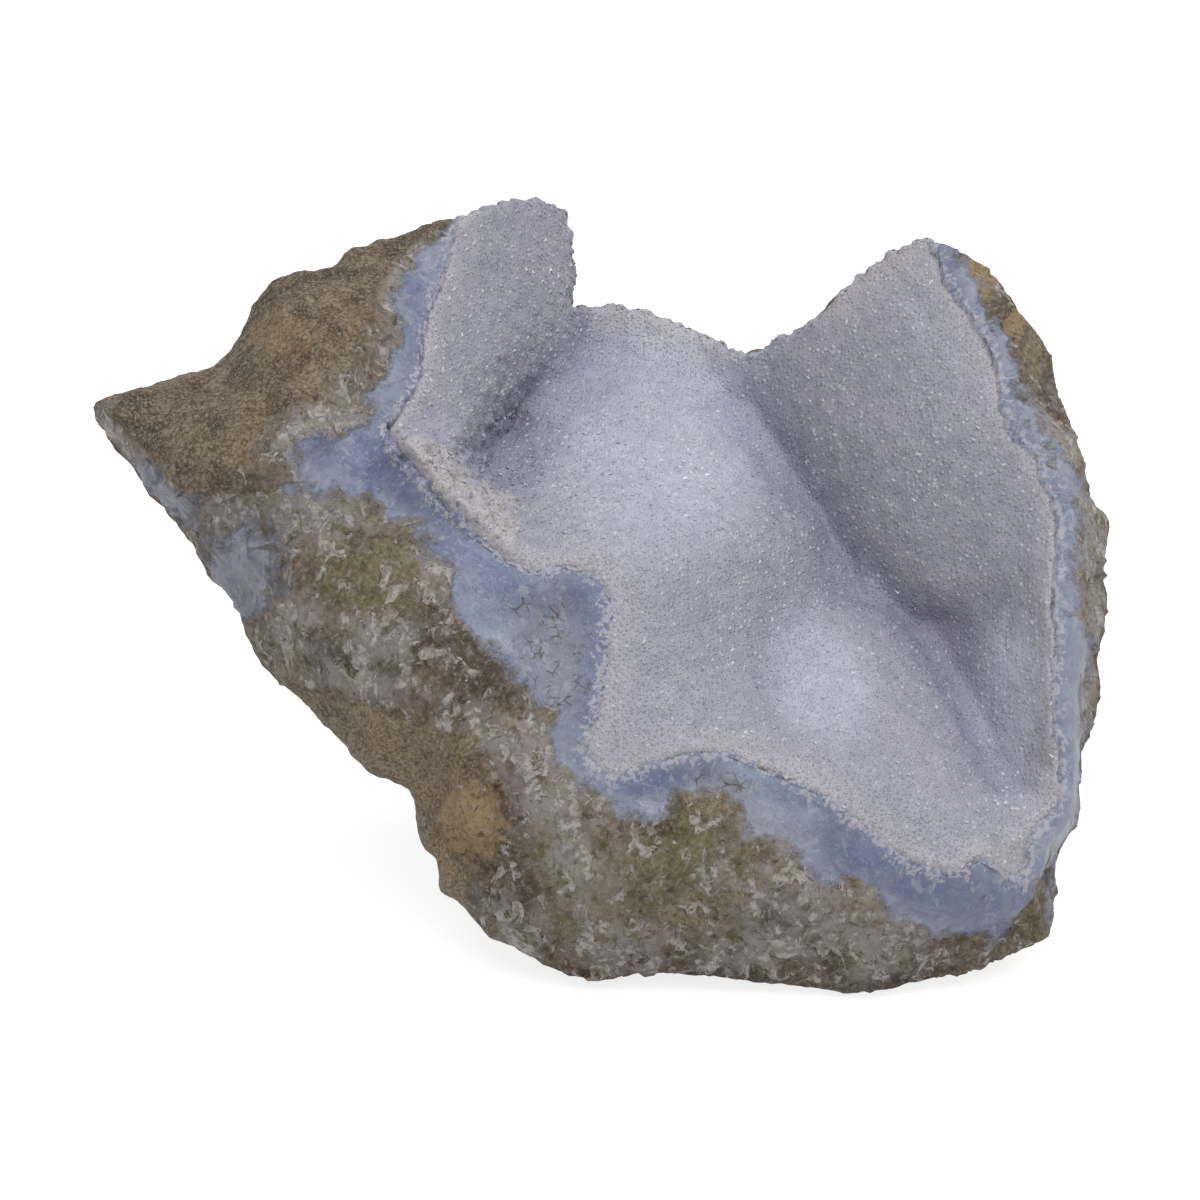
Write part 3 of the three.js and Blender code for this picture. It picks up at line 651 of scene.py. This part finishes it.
def stone_material():
    """The rock, its skin and its agate layer, mixed by the fields stored on the mesh."""
    s = Shader("agate_rock", Specular_IOR_Level=0.35)
    ragged = s.noise(4.2, 8, 0.7, distortion=1.0) - 0.5

    def patch(name, softness):
        """Where a patch is: 0 outside and 1 inside its ragged edge."""
        return (s.field(name) + ragged * 3.2 + 0.1).step(-softness / 2, softness / 2)

    agate = (s.field("agate") + (s.noise(5.0, 6, 0.62) - 0.5) * 12).step(-1.2, 1.2)
    agate = agate.math("MAXIMUM", agate, patch("blue", 0.8) * 0.8)
    skin = (s.field("skin") + ragged * 7).step(-0.5, 0.5)
    rock, flakes = host_rock_colour(s, patch)
    colour = s.mix(rock, agate_colour(s, s.field("to_druse"), patch), agate)
    colour = s.mix(colour, skin_colour(s, patch), skin)
    smooth = agate * (1 - skin)
    rough = 0.85 - smooth * 0.4
    chipped = s.cells(1.6, warp=1.2)["Color"] * 0.3
    height = (s.noise(0.8, 8, 0.72) + (chipped + flakes * 0.25) * (1 - skin)) * (1 - smooth * 0.88)
    return s.finish(Base_Color=colour, Roughness=rough, Normal=s.bump(height, 1.1))


def druse_tint(s, painted_sheen=0.0):
    """Lilac-grey sugar, milky and paler with painted light in places, with painted shade in its valleys and
    creamy at its broken edge.

    Each crystal has its own tone. The painted sheen makes all of them paler."""
    cloud = s.noise(2.5, 5, 0.6).step(0.35, 0.65)
    lit_milk = s.mix(shade("milk shade"), shade("milk light"), cloud)
    body = s.mix(shade("sugar shade"), shade("sugar light"), cloud)
    # Milky quartz, and painted light: the milky patches lie on the mound, the front ridge and the right
    # side, and make the druse paler there as if lit
    body = s.mix(body, lit_milk, s.field("milky"))
    body = s.mix(body, shade("lilac"), s.noise(14, 2).step(0.4, 0.65) * 0.3)
    # Painted shade: the druse is darker and more lilac deep in its valleys
    body = s.mix(body, shade("valley"), s.field("valley") * 0.4)
    body = s.mix(body, shade("cream"), s.field("cream") * 0.85)
    tone = s.field("tone")
    body = s.mix(body, shade("dull crystal"), (1 - tone.step(0.0, 0.3)) * 0.15)
    # Some crystals are paler at random; those in the sparkling patches, and the painted sheen, are painted
    # glints, mixed towards near white
    bright = tone.step(0.88, 0.92) * 0.25 + tone.step(0.72, 0.76) * s.field("sparkle") * 0.45
    body = s.mix(body, shade("bright crystal"), bright + painted_sheen)
    specks = s.cells(1.5)
    dots = (1 - specks["Distance"].step(0.05, 0.09)) * specks["Color"].step(0.66, 0.7)
    return s.mix(body, shade("dark speck"), dots * 0.8)


def druse_material():
    """The bed that the crystals grow from."""
    s = Shader("druse_bed", Roughness=0.5, Specular_IOR_Level=0.4)
    return s.finish(Base_Color=druse_tint(s), Normal=s.bump(s.noise(0.5, 3), 0.1))


def crystal_material(name, roughness, painted_sheen):
    """Clear to milky quartz points, made paler by the painted sheen."""
    s = Shader(name, Roughness=roughness, IOR=1.544, Transmission_Weight=0.15)
    return s.finish(Base_Color=druse_tint(s, painted_sheen))


# The stone


def make_stone(druse):
    """The rock with its skin and agate layer, chipped and grained."""
    stone = visual_copy("geode_stone", "agate_rock", ROCK_VOXEL, ROCK_SMOOTHING)
    mesh = stone.data
    points = mesh_points(mesh)
    normals = mesh_normals(mesh)
    toward = np.array(face_axes()[2])
    facing = normals @ toward
    to_druse = distances(points, tree_of(mesh_points(druse.data))) / MM
    agate, skin = stone_layers(points, facing, to_druse)
    relief = stone_relief(points, facing, to_druse, agate, skin)
    moved = points + normals * relief[:, None] * MM
    rise = evened(mesh, rise_to_rim(moved, facing, druse), 1)
    moved += toward * rise[:, None] * MM
    set_points(mesh, kept_in_box(moved, "agate_rock"))
    shade_smooth(mesh)
    for name, values in {"agate": agate, "skin": skin, "to_druse": to_druse}.items():
        set_field(mesh, name, values)
    x, y, _ = drawn(points)
    front = smoothstep(facing, *FRONT)
    for name, patches in PATCHES.items():
        set_field(mesh, name, np.where(front > 0.1, patch_field(x, y, patches), -1))
    mesh.materials.clear()
    mesh.materials.append(stone_material())
    return stone


def stone_layers(points, facing, to_druse):
    """How deep each point is inside the edge of the agate and of the skin, in millimetres."""
    x, y, _ = drawn(points)
    front = smoothstep(facing, *FRONT)
    agate = inside_distance(x, y, AGATE_EDGE)
    agate = np.where(front > 0, agate, -5) * front - 6 * (1 - front)
    agate = np.maximum(agate, INNER_AGATE - to_druse - 8 * (1 - smoothstep(facing, -0.4, 0.0)))
    skin = np.max([inside_distance(x, y, edge) for edge in SKIN_EDGES], axis=0)
    return agate, np.maximum(skin, BACK_SKIN - 9 * front)


def stone_relief(points, facing, to_druse, agate, skin):
    """The relief in millimetres of chipped rock, rough skin and smooth agate."""
    x, y, _ = drawn(points)
    front = smoothstep(facing, *FRONT)
    in_agate = smoothstep(agate, -0.5, 1.5)
    in_skin = smoothstep(skin, -0.5, 1)
    smooth = grain(points, AGATE_GRAIN, 9) + AGATE_CHIPS * chips(points, CHIPS[:1])
    relief = (1 - in_agate) * (1 - in_skin) * (chips(points, CHIPS) + grain(points, ROCK_GRAIN, 1))
    relief += in_skin * grain(points, SKIN_GRAIN, 5)
    relief += in_agate * (1 - in_skin) * smooth
    relief += NODULE_RISE * front * smoothstep(patch_field(x, y, [NODULE]), 0, 0.35)
    relief *= smoothstep(to_druse, 0.3, 3.0)
    return relief * smoothstep(points[:, 2] / MM, 0.1, 2.5)


def rise_to_rim(points, facing, druse):
    """How far the broken face rises in millimetres to meet the rim of the druse, for each point."""
    x, y, depth = drawn(points)
    flat = np.column_stack([x, y, np.zeros(len(x))])
    rim_x, rim_y, rim_depth = drawn(mesh_points(druse.data))
    plan = tree_of(np.column_stack([rim_x, rim_y, np.zeros(len(rim_x))]))
    away = distances(flat, plan)
    level = np.full(len(points), -np.inf)
    for i in np.flatnonzero(away < RIM_REACH):
        level[i] = max(rim_depth[j] for _, j, _ in plan.find_range(flat[i], away[i] + RIM_WIDTH))
    near = np.flatnonzero((away < RIM_REACH) & (level - depth < RIM_HEIGHT))
    wanted = level - RIM_DROP + grain(points, RIM_GRAIN, 4) - depth
    steep = 1 - smoothstep(level - depth, RIM_HEIGHT / 2, RIM_HEIGHT)
    room = room_under(points, near, druse)
    face = near[np.isinf(room[near]) & (smoothstep(facing[near], *FRONT) > 0.5)]
    border = tree_of(flat[face])
    rise = np.zeros(len(points))
    for i in near:
        if border.find(flat[i])[2] < RIM_OVERLAP:
            room[i] = np.inf
        fade = 1 - smoothstep(away[i], 0.5, RIM_REACH)
        rise[i] = max(0, min(room[i], wanted[i] * steep[i] * fade))
    return rise


def room_under(points, chosen, druse):
    """How far each chosen point may rise under the druse and stay hidden, with no limit beside it."""
    toward = face_axes()[2]
    room = np.full(len(points), np.inf)
    for i in chosen:
        place = Vector(points[i])
        covered, cover, _, _ = druse.ray_cast(place + toward * 2 * RIM_HEIGHT * MM, -toward)
        if covered:
            room[i] = (cover - place).dot(toward) / MM - RIM_HIDDEN
    return room


def evened(mesh, values, rounds):
    """The values, one per vertex, blended with those of their neighbours."""
    ends = np.empty(len(mesh.edges) * 2, int)
    mesh.edges.foreach_get("vertices", ends)
    first, second = ends.reshape(-1, 2).T
    links = np.bincount(ends, minlength=len(values))
    for _ in range(rounds):
        total = np.bincount(first, values[second], len(values))
        total += np.bincount(second, values[first], len(values))
        values = (values + total / np.maximum(links, 1)) / 2
    return values


# The druse


def make_druse_bed():
    """The crust that the crystals grow from, without the CAD crust's large points."""
    bed = visual_copy("druse_bed", "crystal_crust", DRUSE_VOXEL, DRUSE_SMOOTHING)
    mesh = bed.data
    points = mesh_points(mesh)
    normals = mesh_normals(mesh)
    facing = normals @ np.array(face_axes()[2])
    side = 1 - smoothstep(np.abs(facing), 0.25, 0.7)
    relief = BED_SWELL + grain(points, BED_GRAIN, 3)
    relief += side * (SEAM_SWELL + grain(points, SEAM_GRAIN, 8))
    set_points(mesh, kept_in_box(points + normals * relief[:, None] * MM, "crystal_crust", "agate_rock"))
    shade_smooth(mesh)
    x, y, depth = drawn(points)
    set_field(mesh, "outward", smoothstep(facing, -0.25, 0.05))
    set_field(mesh, "tone", np.full(len(points), BED_TONE))
    # Painted shade: how deep in a valley each point lies
    set_field(mesh, "valley", smoothstep(hollowness(x, y, depth, facing > 0.1), *VALLEY_DEPTH))
    mesh.materials.clear()
    mesh.materials.append(druse_material())
    return bed


def hollowness(x, y, depth, shown):
    """How far each point lies below the middle between its two sides, on average, in millimetres."""
    columns = (x - x.min()).astype(int)
    rows = (y - y.min()).astype(int)
    total = np.zeros((rows.max() + 1, columns.max() + 1))
    count = np.zeros_like(total)
    np.add.at(total, (rows[shown], columns[shown]), depth[shown])
    np.add.at(count, (rows[shown], columns[shown]), 1)
    margin = max(VALLEY_REACH)
    level = np.where(count > 0, total / np.maximum(count, 1), np.nan)
    level = np.pad(level, margin, constant_values=np.nan)
    sides = []
    for reach in VALLEY_REACH:
        for step in [(0, reach), (reach, 0), (reach, reach), (reach, -reach)]:
            back = (-step[0], -step[1])
            sides.append((np.roll(level, step, (0, 1)) + np.roll(level, back, (0, 1))) / 2 - level)
    known = np.isfinite(sides)
    mean = np.where(known, sides, 0).sum(0) / np.maximum(known.sum(0), 1)
    return mean[rows + margin, columns + margin]


def mark_druse(bed, stone):
    """Stores where the bed is cream, near its broken edge and on its ledge, where it is milky with painted
    light, and where it has painted glints.
    """
    to_druse = np.empty(len(stone.data.vertices))
    stone.data.attributes["to_druse"].data.foreach_get("value", to_druse)
    facing = mesh_normals(stone.data) @ np.array(face_axes()[2])
    exposed = mesh_points(stone.data)[(to_druse > EXPOSED) & (facing > 0.3)]
    points = mesh_points(bed.data)
    to_edge = distances(points, tree_of(exposed)) / MM - EXPOSED
    x, y, _ = drawn(points)
    edge = CREAM_EDGE * (1 - smoothstep(to_edge, 0, CREAM_REACH))
    ledge = smoothstep(patch_field(x, y, LEDGE_PATCHES) + grain(points, LEDGE_RAGGED, 5), 0, 0.2)
    set_field(bed.data, "cream", np.maximum(edge, CREAM_LEDGE * ledge))
    # Milky quartz, and painted light on the mound, the front ridge and the right side
    set_field(bed.data, "milky", smoothstep(patch_field(x, y, MILKY_AND_LIT_PATCHES), 0, 0.6))
    # Painted glints in the sparkling patches
    set_field(bed.data, "sparkle", smoothstep(patch_field(x, y, PAINTED_GLINT_PATCHES), 0, 0.7))
    rough = ledge * grain(points, LEDGE_GRAIN, 7)
    set_points(bed.data, points + mesh_normals(bed.data) * rough[:, None] * MM)


def crystal_shape(name, sides, spread):
    """A closed low pyramid with its top at height 1, this wide at height 0 and with a sunken base."""
    turn = 2 * math.pi / sides
    radius = spread * (1 + SUNKEN)
    base = [(radius * math.cos(k * turn), radius * math.sin(k * turn), -SUNKEN) for k in range(sides)]
    faces = [(k, (k + 1) % sides, sides) for k in range(sides)]
    faces.append(range(sides - 1, -1, -1))
    mesh = bpy.data.meshes.new(name)
    mesh.from_pydata([*base, (0, 0, 1)], [], faces)
    return bpy.data.objects.new(name, mesh)


def crystal_tree(point):
    """Geometry Nodes that plant copies of a point all over the outward side of a bed.

    Each copy has its own size, lean and tone."""
    tree = bpy.data.node_groups.new("quartz_planting", "GeometryNodeTree")
    sockets = [("Geometry", "NodeSocketGeometry"), ("Spacing", "NodeSocketFloat"),
               ("Smallest", "NodeSocketFloat"), ("Largest", "NodeSocketFloat"),
               ("Lean", "NodeSocketFloat"), ("Seed", "NodeSocketInt"), ("Material", "NodeSocketMaterial")]
    for name, kind in sockets:
        tree.interface.new_socket(name, in_out="INPUT", socket_type=kind)
    tree.interface.new_socket("Geometry", in_out="OUTPUT", socket_type="NodeSocketGeometry")

    def add(kind, settings=None, values=None):
        node = tree.nodes.new(kind)
        for setting, value in (settings or {}).items():
            setattr(node, setting, value)
        for name, value in (values or {}).items():
            socket = find_socket(node.inputs, name)
            if isinstance(value, bpy.types.NodeSocket):
                tree.links.new(value, socket)
            else:
                socket.default_value = value
        return node

    given = add("NodeGroupInput").outputs
    outward = add("GeometryNodeInputNamedAttribute", {"data_type": "FLOAT"}, {"Name": "outward"})
    wanted = find_socket(outward.outputs, "Attribute")
    planted = add("GeometryNodeDistributePointsOnFaces", {"distribute_method": "POISSON"}, {
        "Mesh": given["Geometry"], "Distance Min": given["Spacing"], "Density Max": CROWDED,
        "Density Factor": wanted, "Seed": given["Seed"]})
    size = add("FunctionNodeRandomValue", {"data_type": "FLOAT"}, {
        "Min_001": given["Smallest"], "Max_001": given["Largest"], "Seed": given["Seed"]})
    tip = add("FunctionNodeRandomValue", {"data_type": "FLOAT_VECTOR"}, {
        "Min": (-1, -1, -1), "Max": (1, 1, 1), "Seed": given["Seed"]})
    leaned = add("ShaderNodeVectorMath", {"operation": "SCALE"}, {
        "Vector": tip.outputs["Value"], "Scale": given["Lean"]})
    aim = add("ShaderNodeVectorMath", {"operation": "ADD"}, {
        0: planted.outputs["Normal"], 1: leaned.outputs["Vector"]})
    turned = add("FunctionNodeAlignRotationToVector", {"axis": "Z"}, {"Vector": aim.outputs["Vector"]})
    source = add("GeometryNodeObjectInfo", None, {"Object": point})
    grown = add("GeometryNodeInstanceOnPoints", None, {
        "Points": planted.outputs["Points"], "Instance": source.outputs["Geometry"],
        "Rotation": turned.outputs["Rotation"], "Scale": find_socket(size.outputs, "Value_001")})
    tone = add("FunctionNodeRandomValue", {"data_type": "FLOAT"}, {"Seed": given["Seed"]})
    toned = add("GeometryNodeStoreNamedAttribute", {"data_type": "FLOAT", "domain": "INSTANCE"}, {
        "Geometry": grown.outputs["Instances"], "Name": "tone",
        "Value": find_socket(tone.outputs, "Value_001")})
    real = add("GeometryNodeRealizeInstances", None, {"Geometry": toned.outputs["Geometry"]})
    coated = add("GeometryNodeSetMaterial", None, {
        "Geometry": real.outputs["Geometry"], "Material": given["Material"]})
    add("NodeGroupOutput", None, {"Geometry": coated.outputs["Geometry"]})
    return tree


def plant_crystals(name, bed, tree, material, **sizes):
    """One joined mesh of quartz points on the bed."""
    crystals = bpy.data.objects.new(name, bed.data)
    bpy.context.scene.collection.objects.link(crystals)
    modifier = crystals.modifiers.new("quartz_planting", "NODES")
    modifier.node_group = tree
    inputs = {item.name: item.identifier for item in tree.interface.items_tree if item.in_out == "INPUT"}
    for socket, value in {**sizes, "Material": material}.items():
        modifier[inputs[socket]] = value
    applied(crystals)
    set_points(crystals.data, kept_in_box(mesh_points(crystals.data), "crystal_crust", "agate_rock"))
    return crystals


def make_crystals(bed):
    """Three plantings of different size, each a piece of its own."""
    sugar = crystal_material("quartz_points", 0.3, 0.0)
    # The glints get a painted sheen: their colour is paler, as if lit
    glint = crystal_material("quartz_glints", 0.15, 0.2)
    plantings = [
        ("quartz_glints", crystal_shape("plate_shape", 3, 2.4), glint, {
            "Spacing": 1.9 * MM, "Smallest": 0.1 * MM, "Largest": 0.25 * MM, "Lean": 0.25, "Seed": 11}),
        ("quartz_points", crystal_shape("point_shape", 6, 2.0), sugar, {
            "Spacing": 0.8 * MM, "Smallest": 0.08 * MM, "Largest": 0.19 * MM, "Lean": 0.33, "Seed": 12}),
        ("quartz_grit", crystal_shape("flake_shape", 3, 1.6), sugar, {
            "Spacing": 0.42 * MM, "Smallest": 0.06 * MM, "Largest": 0.12 * MM, "Lean": 0.28, "Seed": 13}),
    ]
    pieces = []
    for name, shape, material, sizes in plantings:
        tree = crystal_tree(shape)
        pieces.append(plant_crystals(name, bed, tree, material, **sizes))
        bpy.data.node_groups.remove(tree)
        bpy.data.objects.remove(shape)
    return pieces


# Studio


def make_studio():
    """A white floor and soft light from all sides, most of it from above."""
    corners = [(-FLOOR_REACH, -FLOOR_REACH, 0), (FLOOR_REACH, -FLOOR_REACH, 0),
               (FLOOR_REACH, FLOOR_REACH, 0), (-FLOOR_REACH, FLOOR_REACH, 0)]
    floor_mesh = bpy.data.meshes.new("floor")
    floor_mesh.from_pydata(corners, [], [(0, 1, 2, 3)])
    floor = bpy.data.objects.new("floor", floor_mesh)
    bpy.context.scene.collection.objects.link(floor)
    paper = Shader("floor_paper", Roughness=0.9, Specular_IOR_Level=0.1, Base_Color=(0.32, 0.32, 0.32, 1),
                   Emission_Color=(1, 1, 1, 1), Emission_Strength=0.8)
    floor_mesh.materials.append(paper.material)
    world = bpy.data.worlds.new("studio")
    bpy.context.scene.world = world
    world.use_nodes = True
    sky = world.node_tree.nodes["Background"]
    sky.inputs["Color"].default_value = (1, 1, 1, 1)
    sky.inputs["Strength"].default_value = SKY_STRENGTH
    lamp = bpy.data.lights.new("top_light", "SUN")
    lamp.energy = TOP_LIGHT_STRENGTH
    lamp.angle = TOP_LIGHT_SPREAD
    light = bpy.data.objects.new("top_light", lamp)
    light.rotation_euler = Vector(TOP_LIGHT_FROM).to_track_quat("Z", "Y").to_euler()
    bpy.context.scene.collection.objects.link(light)


def make_camera():
    """The photograph's view: square to the open face, at the distance it was drawn from."""
    lens = bpy.data.cameras.new("camera")
    lens.lens = lens.sensor_width * VIEW_DISTANCE / PHOTO_WIDTH
    lens.clip_end = SIGHT
    camera = bpy.data.objects.new("camera", lens)
    camera.location = face_origin() + face_axes()[2] * VIEW_DISTANCE * MM
    camera.rotation_euler = (math.pi / 2 - LEAN, 0, 0)
    bpy.context.scene.collection.objects.link(camera)
    bpy.context.scene.camera = camera


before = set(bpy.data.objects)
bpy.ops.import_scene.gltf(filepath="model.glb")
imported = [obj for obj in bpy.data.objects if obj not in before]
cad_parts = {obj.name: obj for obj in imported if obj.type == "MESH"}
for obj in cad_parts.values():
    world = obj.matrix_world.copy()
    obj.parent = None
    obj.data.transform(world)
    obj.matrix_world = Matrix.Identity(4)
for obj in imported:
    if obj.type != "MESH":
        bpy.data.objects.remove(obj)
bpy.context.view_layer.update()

bpy.context.scene.view_settings.view_transform = "Standard"
make_camera()
make_studio()

bed = make_druse_bed()
stone = make_stone(bed)
mark_druse(bed, stone)
for crystals in make_crystals(bed):
    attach(crystals, "root")
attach(stone, "root")
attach(bed, "root")
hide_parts("agate_rock")
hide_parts("crystal_crust")
